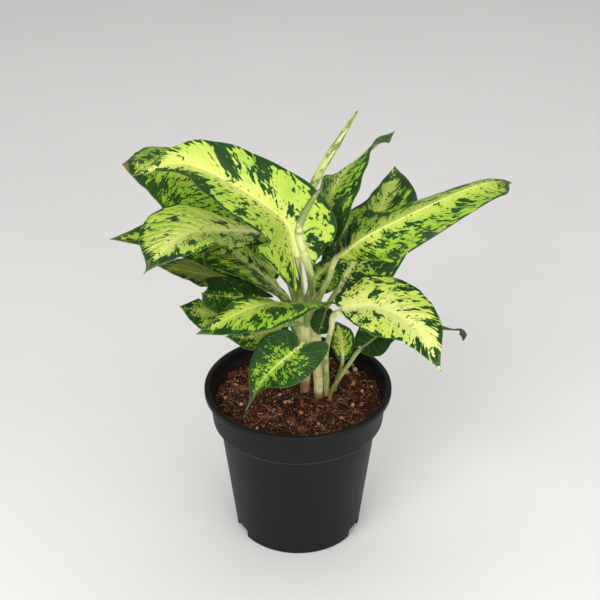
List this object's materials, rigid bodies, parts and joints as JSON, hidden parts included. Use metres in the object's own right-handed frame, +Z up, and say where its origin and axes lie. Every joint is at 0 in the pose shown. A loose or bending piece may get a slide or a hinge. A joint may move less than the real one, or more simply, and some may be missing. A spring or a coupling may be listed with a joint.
{
  "type": "potted dieffenbachia",
  "caption": "Variegated dieffenbachia with broad pointed leaves on short pale canes, in a round tapered black nursery pot filled with brown soil.",
  "frame": {"origin": "middle of the pot's underside, on the surface that it stands on", "axes": "+Z up along the pot's axis, -Y towards the front of the plant, +X to the right"},
  "size_m": [0.2648, 0.1509, 0.3119],
  "materials": {
    "pot": "matte black moulded plastic",
    "soil": "loose reddish brown coco peat",
    "cane": "smooth pale cream stem",
    "new_leaf": "smooth rolled young leaf",
    "leaf": "satin leaf, lime blotched dark green with a pale midrib"
  },
  "bodies": {
    "root": {"pot": "pot", "soil": "soil", "cane_left": "cane", "cane_right": "cane", "spear_tall": "new_leaf", "spear_short": "new_leaf", "leaf_upper_left": "leaf", "leaf_upper_left_behind": "leaf", "leaf_middle_left": "leaf", "leaf_far_left": "leaf", "leaf_left_olive": "leaf", "leaf_inner_left": "leaf", "leaf_left_dark": "leaf", "leaf_front_left": "leaf", "leaf_small_left": "leaf", "leaf_low_left": "leaf", "leaf_small_front": "leaf", "leaf_right_front": "leaf", "leaf_long_right": "leaf", "leaf_upright": "leaf", "leaf_broad_behind": "leaf", "leaf_low_right": "leaf", "leaf_young_front": "leaf", "leaf_young_middle": "leaf", "leaf_young_crinkled": "leaf"}
  },
  "joints": []
}
